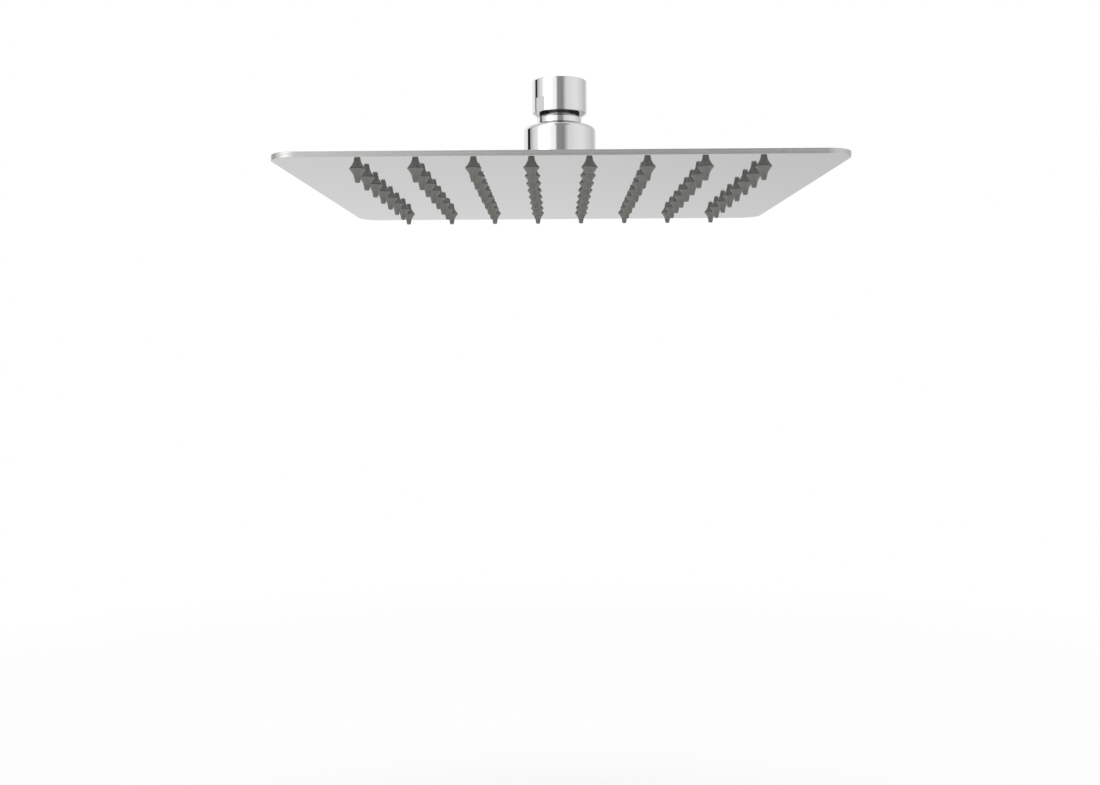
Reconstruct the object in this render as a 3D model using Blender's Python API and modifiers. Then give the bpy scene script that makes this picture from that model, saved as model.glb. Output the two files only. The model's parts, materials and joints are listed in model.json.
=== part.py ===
"""Square overhead shower head: two thin welded sheets, silicone nozzles and a ball swivel.

Metres, +Z up. The nozzle tips stand on z = 0 and the swivel turns about the Z axis. Heights in a
turned profile are measured from the centre of the ball, where every joint of the swivel has its
origin. Heights in the plates are measured from the underside of the face sheet.
"""

import math

import bmesh
import bpy
from mathutils import Matrix, Vector

# Clearance between pieces that seat on each other, overrun of every cutter, and weld of points
seat_gap = 0.0003
cut_overrun = 0.001
merge_distance = 0.00001

# Angles past which an edge stays sharp, and past which it is bevelled
sharp_angle = math.radians(30)
bevel_angle = math.radians(60)

# Facets
turned_steps = 32
ball_arc_steps = 9
seat_arc_steps = 3
fillet_steps = 4
corner_steps = 6
nozzle_steps = 8
screen_hole_steps = 8

# Plates
plate_side = 0.200
plate_corner_radius = 0.010
sheet_thickness = 0.00085
plate_edge_bevel = 0.00015
rim_width = 0.017
press_corner_radius = 0.014
press_slope_width = 0.005
press_rise = 0.003
press_slope_shares = ((0.0, 0.0), (0.22, 0.1), (0.5, 0.5), (0.78, 0.9), (1.0, 1.0))
spigot_hole_radius = 0.009

# Nozzles: height above the tip and radius, as shares of the nozzle's height and its brim's radius
nozzles_per_side = 8
nozzle_pitch = 0.0209
nozzle_height = 0.005
nozzle_brim_radius = 0.00295
nozzle_profile_shares = ((1.0, 1.0), (0.93, 0.93), (0.66, 0.58), (0.28, 0.39), (0.0, 0.27))
nozzle_inlet_radius = 0.0015
nozzle_jet_radius = 0.0005

# Captive nut, measured outwards and inwards from the crests of its thread
thread_minor_radius = 0.0093
nut_wall = 0.0022
nut_height = 0.0151
nut_floor = 0.0026
nut_lip_width = 0.0011
nut_foot_chamfer_width = 0.0021
nut_foot_chamfer_height = 0.0013
nut_top_chamfer = 0.0002
nut_mouth_chamfer = 0.0007
wrench_flat_depth = 0.0005
wrench_flat_height = 0.0071
wrench_flat_angle = math.radians(45)

# Ball stem, from the flange that keeps the nut down to the ball
stem_flange_thickness = 0.0012
stem_wall = 0.00265
neck_shoulder_width = 0.0012
neck_height = 0.0041
neck_chamfer = 0.0003
ball_overhang = 0.0027
ball_flat_cut = 0.002
tilt_limit = math.radians(15)

# Inlet washer and screen
washer_thickness = 0.002
washer_overlap = 0.0004
screen_thickness = 0.0005
screen_seat_width = 0.00105
screen_hole_radius = 0.0005
screen_edge = 0.00035
screen_rings = 2

# Cap. Its lip meets the ball's running sphere at this latitude
cap_wall = 0.0015
cap_lip_latitude = math.radians(22.4)
cap_lip_thickness = 0.0034
cap_shoulder_radius = 0.0023
cap_foot_chamfer = 0.0004

# Socket body
socket_wall = 0.0013
socket_rim_drop = 0.0015
socket_floor = 0.0027
socket_rim_chamfer = 0.0003
base_flange_height = 0.004
base_flange_overhang = 0.0013
base_flange_round = 0.001
spigot_reach = 0.001
socket_water_radius = 0.0055

# Seats and gasket
seat_lip_wall = 0.0006
seat_throat_radius = 0.0087
gasket_thickness = 0.0015
gasket_width = 0.0028

# Radii of the nut and the stem, from the thread inwards and out again to the ball
nut_radius = thread_minor_radius + nut_wall
nut_hole_radius = thread_minor_radius - nut_lip_width
stem_flange_radius = thread_minor_radius - seat_gap
tube_radius = nut_hole_radius - seat_gap
water_bore_radius = tube_radius - stem_wall
screen_radius = water_bore_radius + screen_seat_width
neck_radius = tube_radius + neck_shoulder_width
ball_radius = neck_radius + ball_overhang

# Radii that follow one another outwards from the ball
running_radius = ball_radius + seat_gap
socket_bore_radius = running_radius
seat_outer_radius = socket_bore_radius - seat_gap
socket_thread_radius = socket_bore_radius + socket_wall
cap_bore_radius = socket_thread_radius + seat_gap
cap_radius = cap_bore_radius + cap_wall

# Heights from the underside of the face sheet
back_sheet_base = sheet_thickness + seat_gap
back_sheet_top = back_sheet_base + press_rise + sheet_thickness
base_flange_foot = back_sheet_top + seat_gap
ball_centre = base_flange_foot + socket_floor + ball_radius

# Heights from the centre of the ball
cap_lip_height = running_radius * math.sin(cap_lip_latitude)
cap_top = cap_lip_height + cap_lip_thickness
socket_rim_height = -socket_rim_drop
socket_floor_height = -ball_radius
base_foot_height = base_flange_foot - ball_centre
base_flange_top = base_foot_height + base_flange_height
gasket_foot = socket_floor_height + seat_gap
gasket_top = gasket_foot + gasket_thickness
neck_foot = math.sqrt(ball_radius**2 - neck_radius**2)
neck_top = neck_foot + neck_height
nut_foot = neck_top + seat_gap
nut_top = nut_foot + nut_height
nut_floor_top = nut_foot + nut_floor
stem_flange_foot = nut_floor_top + seat_gap
stem_flange_top = stem_flange_foot + stem_flange_thickness
screen_recess_floor = stem_flange_top - screen_thickness - seat_gap


def clear_scene():
    for obj in list(bpy.data.objects):
        bpy.data.objects.remove(obj, do_unlink=True)


def new_collection(name):
    collection = bpy.data.collections.new(name)
    bpy.context.scene.collection.children.link(collection)
    return collection


def principled(name, colour, metallic, roughness):
    material = bpy.data.materials.new(name)
    material.use_nodes = True
    shader = material.node_tree.nodes["Principled BSDF"]
    shader.inputs["Base Color"].default_value = (*colour, 1.0)
    shader.inputs["Metallic"].default_value = metallic
    shader.inputs["Roughness"].default_value = roughness
    return material


def new_pivot(name, parent=None):
    """An empty at the centre of the ball. A parented one stays on its parent's origin."""
    pivot = bpy.data.objects.new(name, None)
    parts.objects.link(pivot)
    pivot.parent = parent
    return pivot


def add_part(name, mesh, material, parent, height=0.0):
    """A part of the head, at a height above the centre of the ball."""
    mesh.materials.clear()
    mesh.materials.append(material)
    mesh.shade_smooth()
    mesh.set_sharp_from_angle(angle=sharp_angle)
    part = bpy.data.objects.new(name, mesh)
    parts.objects.link(part)
    part.parent = parent
    part.location.z = height
    return part


def add_cutter(name, mesh, height):
    """A shape that cuts or joins a part, at a height above the nozzle tips."""
    cutter = bpy.data.objects.new(name, mesh)
    cutters.objects.link(cutter)
    cutter.location.z = height
    cutter.hide_render = True
    cutter.display_type = "WIRE"
    return cutter


def add_boolean(part, cutter, operation="DIFFERENCE"):
    """Cuts or joins. The new faces keep the cutter's material where it has one."""
    boolean = part.modifiers.new(f"{operation.lower()} {cutter.name}", "BOOLEAN")
    boolean.operation = operation
    boolean.solver = "EXACT"
    boolean.material_mode = "TRANSFER"
    boolean.object = cutter


def arc(centre_radius, centre_height, radius, start, end, steps):
    """Profile points on a round stretch, from one angle above the horizontal to another."""
    angles = [start + (end - start) * step / steps for step in range(steps + 1)]
    return [
        (centre_radius + radius * math.cos(angle), centre_height + radius * math.sin(angle))
        for angle in angles
    ]


def sphere_radius_at(height, radius):
    return math.sqrt(radius**2 - height**2)


def sphere_arc(radius, start_height, end_height, steps):
    """Profile points on a sphere round the ball's centre, from one height to another."""
    return arc(
        0.0, 0.0, radius, math.asin(start_height / radius), math.asin(end_height / radius), steps
    )


def turned_mesh(name, profile, steps=turned_steps, closed=True):
    """A profile of (radius, height) points turned round Z. Its outer side runs downwards."""
    bm = bmesh.new()
    points = [bm.verts.new((radius, 0.0, height)) for radius, height in profile]
    for start, end in zip(points, points[1:]):
        bm.edges.new((start, end))
    if closed:
        bm.edges.new((points[-1], points[0]))
    outline = bpy.data.meshes.new(name)
    bm.to_mesh(outline)
    bm.free()
    blank = bpy.data.objects.new(name, outline)
    bpy.context.scene.collection.objects.link(blank)
    screw = blank.modifiers.new("turn", "SCREW")
    screw.axis = "Z"
    screw.steps = steps
    screw.render_steps = steps
    screw.use_merge_vertices = True
    screw.merge_threshold = merge_distance
    graph = bpy.context.evaluated_depsgraph_get()
    mesh = bpy.data.meshes.new_from_object(blank.evaluated_get(graph))
    bpy.data.objects.remove(blank, do_unlink=True)
    bpy.data.meshes.remove(outline)
    mesh.name = name
    return mesh


def rounded_square(half_side, corner_radius):
    """Outline points, corner by corner, anticlockwise from the +X side."""
    inner = half_side - corner_radius
    points = []
    for corner in range(4):
        turn = Matrix.Rotation(corner * math.pi / 2, 2)
        for step in range(corner_steps + 1):
            angle = step / corner_steps * math.pi / 2
            on_arc = Vector((math.cos(angle), math.sin(angle))) * corner_radius
            points.append(turn @ (Vector((inner, inner)) + on_arc))
    return points


def matching_circle(radius):
    """As many points as a rounded square has, each opposite the square's own point."""
    count = 4 * (corner_steps + 1)
    angles = [math.tau * (index + 0.5) / count for index in range(count)]
    return [Vector((math.cos(angle), math.sin(angle))) * radius for angle in angles]


def lofted_mesh(name, loops):
    """A skin over (points, height) loops that run from the rim inwards, facing up."""
    bm = bmesh.new()
    rows = [[bm.verts.new((*point, height)) for point in points] for points, height in loops]
    for outer, inner in zip(rows, rows[1:]):
        for index in range(len(outer)):
            after = (index + 1) % len(outer)
            bm.faces.new((outer[index], outer[after], inner[after], inner[index]))
    mesh = bpy.data.meshes.new(name)
    bm.to_mesh(mesh)
    bm.free()
    return mesh


def flat_outline_mesh(name, points, thickness):
    """A flat sheet with this outline, standing on its own z = 0."""
    curve = bpy.data.curves.new(name, "CURVE")
    curve.dimensions = "2D"
    curve.fill_mode = "BOTH"
    curve.extrude = thickness / 2
    spline = curve.splines.new("POLY")
    spline.points.add(len(points) - 1)
    for point, (x, y) in zip(spline.points, points):
        point.co = (x, y, 0.0, 1.0)
    spline.use_cyclic_u = True
    blank = bpy.data.objects.new(name, curve)
    bpy.context.scene.collection.objects.link(blank)
    graph = bpy.context.evaluated_depsgraph_get()
    mesh = bpy.data.meshes.new_from_object(blank.evaluated_get(graph))
    bpy.data.objects.remove(blank, do_unlink=True)
    bpy.data.curves.remove(curve)
    bm = bmesh.new()
    bm.from_mesh(mesh)
    bmesh.ops.remove_doubles(bm, verts=bm.verts, dist=merge_distance)
    bmesh.ops.translate(bm, verts=bm.verts, vec=(0.0, 0.0, thickness / 2))
    bmesh.ops.recalc_face_normals(bm, faces=bm.faces)
    bm.to_mesh(mesh)
    bm.free()
    return mesh


def add_edge_bevel(part):
    bevel = part.modifiers.new("soft edge", "BEVEL")
    bevel.width = plate_edge_bevel
    bevel.segments = 1
    bevel.limit_method = "ANGLE"
    bevel.angle_limit = bevel_angle


def add_grid(cutter):
    """Repeats a shape at every nozzle's place."""
    start = -nozzle_pitch * (nozzles_per_side - 1) / 2
    cutter.location.x = start
    cutter.location.y = start
    for offset in ((nozzle_pitch, 0.0, 0.0), (0.0, nozzle_pitch, 0.0)):
        array = cutter.modifiers.new("repeat", "ARRAY")
        array.count = nozzles_per_side
        array.use_relative_offset = False
        array.use_constant_offset = True
        array.constant_offset_displace = offset
        array.use_merge_vertices = False


def nozzle_mesh():
    """One nozzle: a wide brim on the sheet that sweeps in to a slim tip, rooted in the sheet."""
    root = nozzle_height + sheet_thickness / 2
    outside = [
        (radius_share * nozzle_brim_radius, height_share * nozzle_height)
        for height_share, radius_share in nozzle_profile_shares
    ]
    profile = [(0.0, root), (nozzle_brim_radius, root), *outside, (0.0, 0.0)]
    return turned_mesh("nozzle", profile, nozzle_steps, closed=False)


def nozzle_bore_mesh():
    """The water way of one nozzle, wide behind the sheet and narrow at the tip."""
    height = nozzle_height + sheet_thickness
    slope = (nozzle_inlet_radius - nozzle_jet_radius) / height
    overrun = slope * cut_overrun
    bm = bmesh.new()
    bmesh.ops.create_cone(
        bm,
        cap_ends=True,
        segments=nozzle_steps,
        radius1=nozzle_jet_radius - overrun / 2,
        radius2=nozzle_inlet_radius + overrun / 2,
        depth=height + cut_overrun,
        matrix=Matrix.Translation((0.0, 0.0, height / 2)),
    )
    mesh = bpy.data.meshes.new("nozzle_bore")
    bm.to_mesh(mesh)
    bm.free()
    return mesh


def make_face_plate(pivot, material, nozzle_material):
    """The lower sheet with its nozzles, which stand in a square grid with a bore through each."""
    outline = rounded_square(plate_side / 2, plate_corner_radius)
    mesh = flat_outline_mesh("face_plate", outline, sheet_thickness)
    plate = add_part("face_plate", mesh, material, pivot, -ball_centre)
    add_edge_bevel(plate)
    nozzle = add_cutter("nozzle", nozzle_mesh(), 0.0)
    nozzle.data.materials.append(nozzle_material)
    add_grid(nozzle)
    add_boolean(plate, nozzle, "UNION")
    bore = add_cutter("nozzle_bore", nozzle_bore_mesh(), 0.0)
    bore.data.materials.append(nozzle_material)
    add_grid(bore)
    add_boolean(plate, bore)


def make_back_plate(pivot, material):
    """The upper sheet: a flat welded rim, and a shallow square pressing that holds the water."""
    foot = plate_side / 2 - rim_width
    loops = [(rounded_square(plate_side / 2, plate_corner_radius), back_sheet_base)]
    for inset_share, rise_share in press_slope_shares:
        inset = inset_share * press_slope_width
        outline = rounded_square(foot - inset, press_corner_radius - inset)
        loops.append((outline, back_sheet_base + rise_share * press_rise))
    loops.append((matching_circle(spigot_hole_radius), back_sheet_base + press_rise))
    mesh = lofted_mesh("back_plate", loops)
    plate = add_part("back_plate", mesh, material, pivot, -ball_centre)
    sheet = plate.modifiers.new("sheet", "SOLIDIFY")
    sheet.thickness = sheet_thickness
    sheet.offset = 1.0
    sheet.use_even_offset = True
    add_edge_bevel(plate)


def make_socket_body(pivot, material):
    """A cup for the ball, with the cap's thread outside, a welded foot and a water spigot."""
    flange_radius = cap_radius + base_flange_overhang
    spigot_radius = spigot_hole_radius - seat_gap
    spigot_foot = base_foot_height - seat_gap - sheet_thickness - spigot_reach
    profile = [
        (socket_bore_radius, socket_rim_height),
        (socket_thread_radius - socket_rim_chamfer, socket_rim_height),
        (socket_thread_radius, socket_rim_height - socket_rim_chamfer),
        (socket_thread_radius, base_flange_top),
        *arc(
            flange_radius - base_flange_round,
            base_flange_top - base_flange_round,
            base_flange_round,
            math.pi / 2,
            0.0,
            fillet_steps - 1,
        ),
        (flange_radius, base_foot_height),
        (spigot_radius, base_foot_height),
        (spigot_radius, spigot_foot),
        (socket_water_radius, spigot_foot),
        (socket_water_radius, socket_floor_height),
        (socket_bore_radius, socket_floor_height),
    ]
    add_part("socket_body", turned_mesh("socket_body", profile), material, pivot)


def make_ball_cap(pivot, material):
    """The screwed collar. Its mouth flares so that the neck can lean to the tilt limit."""
    lip_radius = running_radius * math.cos(cap_lip_latitude)
    mouth_radius = neck_radius / math.cos(tilt_limit) + cap_top * math.tan(tilt_limit) + seat_gap
    foot = base_flange_top + seat_gap
    profile = [
        (mouth_radius, cap_top),
        *arc(
            cap_radius - cap_shoulder_radius,
            cap_top - cap_shoulder_radius,
            cap_shoulder_radius,
            math.pi / 2,
            0.0,
            fillet_steps,
        ),
        (cap_radius, foot + cap_foot_chamfer),
        (cap_radius - cap_foot_chamfer, foot),
        (cap_bore_radius, foot),
        (cap_bore_radius, cap_lip_height),
        (lip_radius, cap_lip_height),
    ]
    add_part("ball_cap", turned_mesh("ball_cap", profile), material, pivot)


def make_upper_seat(pivot, material):
    """A ring between the socket's rim and the cap's lip, hollowed to the ball."""
    top = cap_lip_height - seat_gap
    foot = socket_rim_height + seat_gap
    outer = cap_bore_radius - seat_gap
    hollow = sphere_arc(running_radius, foot, top, seat_arc_steps)
    profile = [(outer, top), (outer, foot), *hollow]
    add_part("upper_seat", turned_mesh("upper_seat", profile), material, pivot)


def make_lower_seat(pivot, material):
    """A ring in the socket that carries the ball on a spherical face, down to its throat."""
    foot = gasket_top + seat_gap
    top = -sphere_radius_at(seat_outer_radius - seat_lip_wall, running_radius)
    throat = -sphere_radius_at(seat_throat_radius, running_radius)
    hollow = sphere_arc(running_radius, throat, top, seat_arc_steps)
    profile = [(seat_outer_radius, top), (seat_outer_radius, foot), (seat_throat_radius, foot), *hollow]
    add_part("lower_seat", turned_mesh("lower_seat", profile), material, pivot)


def make_ring(name, inner, outer, foot, thickness, material, pivot):
    """A flat ring, such as a washer."""
    top = foot + thickness
    profile = [(inner, top), (outer, top), (outer, foot), (inner, foot)]
    add_part(name, turned_mesh(name, profile), material, pivot)


def make_ball_stem(pivot, material):
    """Ball, neck and the tube that the nut turns on, with the flange that keeps the nut."""
    recess_radius = screen_radius + seat_gap
    ball_flat = ball_flat_cut - ball_radius
    profile = [
        (recess_radius, stem_flange_top),
        (stem_flange_radius, stem_flange_top),
        (stem_flange_radius, stem_flange_foot),
        (tube_radius, stem_flange_foot),
        (tube_radius, neck_top),
        (neck_radius - neck_chamfer, neck_top),
        (neck_radius, neck_top - neck_chamfer),
        *sphere_arc(ball_radius, neck_foot, ball_flat, ball_arc_steps),
        (water_bore_radius, ball_flat),
        (water_bore_radius, screen_recess_floor),
        (recess_radius, screen_recess_floor),
    ]
    add_part("ball_stem", turned_mesh("ball_stem", profile), material, pivot)


def make_inlet_screen(pivot, material):
    """A steel disc with a hexagonal field of holes, as wide as the water bore."""
    middle = stem_flange_top - screen_thickness / 2
    pitch = (water_bore_radius - screen_edge - screen_hole_radius) / screen_rings
    disc = bmesh.new()
    bmesh.ops.create_cone(
        disc,
        cap_ends=True,
        segments=turned_steps,
        radius1=screen_radius,
        radius2=screen_radius,
        depth=screen_thickness,
    )
    mesh = bpy.data.meshes.new("inlet_screen")
    disc.to_mesh(mesh)
    disc.free()
    screen = add_part("inlet_screen", mesh, material, pivot, middle)
    holes = bmesh.new()
    for row in range(-screen_rings, screen_rings + 1):
        for place in range(-screen_rings, screen_rings + 1):
            if abs(row + place) > screen_rings:
                continue
            x = (place + row / 2) * pitch
            y = row * pitch * math.sin(math.pi / 3)
            bmesh.ops.create_cone(
                holes,
                cap_ends=True,
                segments=screen_hole_steps,
                radius1=screen_hole_radius,
                radius2=screen_hole_radius,
                depth=screen_thickness + cut_overrun,
                matrix=Matrix.Translation((x, y, 0.0)),
            )
    hole_mesh = bpy.data.meshes.new("screen_holes")
    holes.to_mesh(hole_mesh)
    holes.free()
    add_boolean(screen, add_cutter("screen_holes", hole_mesh, nozzle_height + ball_centre + middle))


def make_inlet_nut(pivot, material):
    """The captive nut: a plain socket for the thread, and two wrench flats at its foot."""
    profile = [
        (thread_minor_radius + nut_mouth_chamfer, nut_top),
        (nut_radius - nut_top_chamfer, nut_top),
        (nut_radius, nut_top - nut_top_chamfer),
        (nut_radius, nut_foot + nut_foot_chamfer_height),
        (nut_radius - nut_foot_chamfer_width, nut_foot),
        (nut_hole_radius, nut_foot),
        (nut_hole_radius, nut_floor_top),
        (thread_minor_radius, nut_floor_top),
        (thread_minor_radius, nut_top - nut_mouth_chamfer),
    ]
    nut = add_part("inlet_nut", turned_mesh("inlet_nut", profile), material, pivot)
    depth = wrench_flat_depth + cut_overrun
    height = wrench_flat_height + cut_overrun
    reach = nut_radius - wrench_flat_depth + depth / 2
    foot = nozzle_height + ball_centre + nut_foot - cut_overrun
    for index in range(2):
        angle = wrench_flat_angle + index * math.pi
        bm = bmesh.new()
        bmesh.ops.create_cube(bm, size=1.0)
        bmesh.ops.scale(bm, vec=(depth, nut_radius * 2, height), verts=bm.verts)
        mesh = bpy.data.meshes.new("wrench_flat")
        bm.to_mesh(mesh)
        bm.free()
        cutter = add_cutter(f"wrench_flat_{index + 1}", mesh, foot + height / 2)
        cutter.location.x = reach * math.cos(angle)
        cutter.location.y = reach * math.sin(angle)
        cutter.rotation_euler.z = angle
        add_boolean(nut, cutter)


clear_scene()
parts = new_collection("overhead_shower_head")
cutters = new_collection("cutters")

chrome = principled("chromed brass", (0.78, 0.78, 0.79), 1.0, 0.08)
steel = principled("polished stainless steel", (0.66, 0.66, 0.65), 1.0, 0.2)
screen_steel = principled("stainless screen", (0.55, 0.55, 0.54), 1.0, 0.35)
white_plastic = principled("white acetal", (0.85, 0.85, 0.82), 0.0, 0.4)
grey_silicone = principled("grey silicone", (0.13, 0.13, 0.125), 0.0, 0.6)

swivel_centre = new_pivot("swivel_centre")
swivel_centre.location.z = nozzle_height + ball_centre
stem_pivot = new_pivot("stem_pivot", swivel_centre)
seat_pivot = new_pivot("seat_pivot", stem_pivot)
head_pivot = new_pivot("head_pivot", seat_pivot)

make_inlet_nut(swivel_centre, chrome)

make_ball_stem(stem_pivot, chrome)
make_inlet_screen(stem_pivot, screen_steel)
make_ring(
    "inlet_washer",
    screen_radius - washer_overlap,
    stem_flange_radius,
    stem_flange_top + seat_gap,
    washer_thickness,
    grey_silicone,
    stem_pivot,
)

make_upper_seat(seat_pivot, white_plastic)
make_lower_seat(seat_pivot, white_plastic)
make_ring(
    "seat_gasket",
    seat_outer_radius - gasket_width,
    seat_outer_radius,
    gasket_foot,
    gasket_thickness,
    grey_silicone,
    seat_pivot,
)

make_ball_cap(head_pivot, chrome)
make_socket_body(head_pivot, steel)
make_back_plate(head_pivot, steel)
make_face_plate(head_pivot, steel, grey_silicone)
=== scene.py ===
import json
import math

import bmesh
import bpy
from mathutils import Matrix, Vector


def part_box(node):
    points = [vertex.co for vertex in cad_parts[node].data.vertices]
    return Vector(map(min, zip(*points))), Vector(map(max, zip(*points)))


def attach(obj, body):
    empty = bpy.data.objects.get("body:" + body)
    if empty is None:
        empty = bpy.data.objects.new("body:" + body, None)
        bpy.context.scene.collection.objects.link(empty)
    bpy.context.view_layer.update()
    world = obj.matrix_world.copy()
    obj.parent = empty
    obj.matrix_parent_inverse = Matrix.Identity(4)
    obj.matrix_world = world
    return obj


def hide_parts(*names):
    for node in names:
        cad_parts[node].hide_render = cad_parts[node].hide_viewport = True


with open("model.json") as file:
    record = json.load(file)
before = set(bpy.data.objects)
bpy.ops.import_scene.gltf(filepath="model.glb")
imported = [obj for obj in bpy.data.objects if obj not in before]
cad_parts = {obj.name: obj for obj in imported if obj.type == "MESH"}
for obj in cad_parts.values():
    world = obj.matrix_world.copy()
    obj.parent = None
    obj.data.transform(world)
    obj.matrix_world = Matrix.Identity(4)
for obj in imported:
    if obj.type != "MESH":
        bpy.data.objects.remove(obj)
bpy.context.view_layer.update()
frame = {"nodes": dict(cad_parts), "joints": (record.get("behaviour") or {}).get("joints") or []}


# Back plate. The upper of two sheets of stainless steel, blanked with soft corners. Its middle is
# pressed up by 3 mm, which leaves a flat rim for the weld and a shallow chamber for the water. It
# is polished over a very fine brushing that runs across the plate.

back_low, back_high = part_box("back_plate")
plate_half = back_high.x
plate_corner_radius = 0.01
sheet_thickness = 0.00085
rim_width = 0.017
press_corner_radius = 0.014
press_slope_width = 0.005
press_slope_steps = 20
back_edge_round = 0.0002
blank_edge_round = 0.0001
edge_steps = 5
edge_hold = 0.0003
spigot_hole_radius = 0.009
corner_steps = 24
steel_colour = (0.615, 0.615, 0.605)
steel_graze = (0.77, 0.77, 0.775, 1.0)
wall_limit = 0.7
noise_band = (0.3, 0.7)


def rounded_square(half, radius):
    """Outline points, corner by corner, anticlockwise from the +X side."""
    points = []
    for corner in range(4):
        turn = Matrix.Rotation(corner * math.pi / 2, 2)
        for step in range(corner_steps + 1):
            angle = step / corner_steps * math.pi / 2
            on_arc = Vector((math.cos(angle), math.sin(angle))) * radius
            points.append(turn @ (Vector((half - radius, half - radius)) + on_arc))
    return points


def matching_circle(radius):
    """A circle with as many points as a rounded square, each opposite the square's own."""
    count = 4 * (corner_steps + 1)
    angles = [math.tau * (index + 0.5) / count for index in range(count)]
    return [Vector((math.cos(angle), math.sin(angle))) * radius for angle in angles]


def plate_loop(inset, height):
    """The plate's outline moved inwards. Inside the rim it has the pressing's own corners."""
    radius = plate_corner_radius - inset
    if inset > rim_width / 2:
        radius = press_corner_radius + rim_width - inset
    return [(*point, height) for point in rounded_square(plate_half - inset, radius)]


def edge_section(low, high, low_round, high_round):
    """A sheet's edge from its underside round to its top, as (inset, height) points."""
    turns = [math.pi / 2 * step / edge_steps for step in range(edge_steps + 1)]
    under = [(low_round * (1 - math.sin(a)), low + low_round * (1 - math.cos(a))) for a in turns]
    over = [(high_round * (1 - math.cos(a)), high - high_round * (1 - math.sin(a))) for a in turns]
    return [(low_round + edge_hold, low), *under, *over, (high_round + edge_hold, high)]


def join_loops(bm, loops, closed=False):
    """Walls between loops of the same number of points. Returns the rows of vertices."""
    rows = [[bm.verts.new(point) for point in loop] for loop in loops]
    pairs = list(zip(rows, rows[1:]))
    if closed:
        pairs.append((rows[-1], rows[0]))
    for outer, inner in pairs:
        for index in range(len(outer)):
            after = (index + 1) % len(outer)
            bm.faces.new((outer[index], outer[after], inner[after], inner[index]))
    return rows


def new_mesh(name, bm):
    """A mesh made from a bmesh, which is freed."""
    mesh = bpy.data.meshes.new(name)
    bm.to_mesh(mesh)
    bm.free()
    return mesh


def finished_mesh(name, bm, sharp=35):
    """Closes the work on a mesh: its faces point out, and edges past the angle stay sharp."""
    bmesh.ops.recalc_face_normals(bm, faces=bm.faces)
    mesh = new_mesh(name, bm)
    mesh.shade_smooth()
    mesh.set_sharp_from_angle(angle=math.radians(sharp))
    return mesh


def new_object(name, data):
    """An object in the scene, at its origin."""
    made = bpy.data.objects.new(name, data)
    bpy.context.scene.collection.objects.link(made)
    return made


def fit(name, mesh, material, body, slot, *nodes):
    """Puts a finished piece on its body, in the place of the solids that it stands for."""
    mesh.materials.clear()
    mesh.materials.append(material)
    piece = new_object(name, mesh)
    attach(piece, body)
    if nodes:
        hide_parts(*nodes)
    return piece


def plain_material(name, colour, metallic, roughness):
    """A material with one colour and finish all over, until grain or marks are added to it."""
    material = bpy.data.materials.new(name)
    material.use_nodes = True
    shader = material.node_tree.nodes["Principled BSDF"]
    shader.inputs["Base Color"].default_value = (*colour, 1.0)
    shader.inputs["Metallic"].default_value = metallic
    shader.inputs["Roughness"].default_value = roughness
    return material


def add_finish(material, pattern, smooth, rough, relief):
    """Lets a noise pattern vary the roughness from smooth to rough and lift the surface."""
    nodes = material.node_tree.nodes
    links = material.node_tree.links
    shader = nodes["Principled BSDF"]
    sheen = nodes.new("ShaderNodeMapRange")
    sheen.inputs["From Min"].default_value = noise_band[0]
    sheen.inputs["From Max"].default_value = noise_band[1]
    sheen.inputs["To Min"].default_value = smooth
    sheen.inputs["To Max"].default_value = rough
    bump = nodes.new("ShaderNodeBump")
    bump.inputs["Strength"].default_value = 1.0
    bump.inputs["Distance"].default_value = relief
    links.new(pattern, sheen.inputs["Value"])
    links.new(sheen.outputs["Result"], shader.inputs["Roughness"])
    links.new(pattern, bump.inputs["Height"])
    links.new(bump.outputs["Normal"], shader.inputs["Normal"])


def add_grain(material, stretch, smooth, rough, relief, shade):
    """Noise on the piece's own coordinates, stretched into lines or left as specks. It also
    darkens the colour, by up to the shade."""
    nodes = material.node_tree.nodes
    links = material.node_tree.links
    shader = nodes["Principled BSDF"]
    place = nodes.new("ShaderNodeTexCoord")
    stretched = nodes.new("ShaderNodeMapping")
    stretched.inputs["Scale"].default_value = stretch
    noise = nodes.new("ShaderNodeTexNoise")
    noise.inputs["Scale"].default_value = 1.0
    noise.inputs["Detail"].default_value = 4.0
    light = shader.inputs["Base Color"].default_value[:]
    colour = nodes.new("ShaderNodeMix")
    colour.data_type = "RGBA"
    colour.inputs["A"].default_value = light
    colour.inputs["B"].default_value = (*[part * (1 - shade) for part in light[:3]], 1.0)
    links.new(place.outputs["Object"], stretched.inputs["Vector"])
    links.new(stretched.outputs["Vector"], noise.inputs["Vector"])
    links.new(noise.outputs["Fac"], colour.inputs["Factor"])
    links.new(colour.outputs["Result"], shader.inputs["Base Color"])
    add_finish(material, noise.outputs["Fac"], smooth, rough, relief)


sheet_steel = plain_material(
    "polished stainless sheet", steel_colour, metallic=1.0, roughness=0.05
)
sheet_steel.node_tree.nodes["Principled BSDF"].inputs["Specular Tint"].default_value = steel_graze
add_grain(
    sheet_steel, stretch=(14.0, 2600.0, 14.0), smooth=0.03, rough=0.06, relief=6e-8, shade=0.05
)
edge_steel = plain_material("blanked edge", steel_colour, metallic=1.0, roughness=0.36)
add_grain(
    edge_steel, stretch=(500.0, 500.0, 1500.0), smooth=0.3, rough=0.42, relief=6e-7, shade=0.08
)


def paint_edges(piece):
    """Gives the upright walls of a sheet the duller finish of a cut edge."""
    piece.data.materials.append(edge_steel)
    for face in piece.data.polygons:
        face.material_index = int(abs(face.normal.z) < wall_limit)


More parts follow.
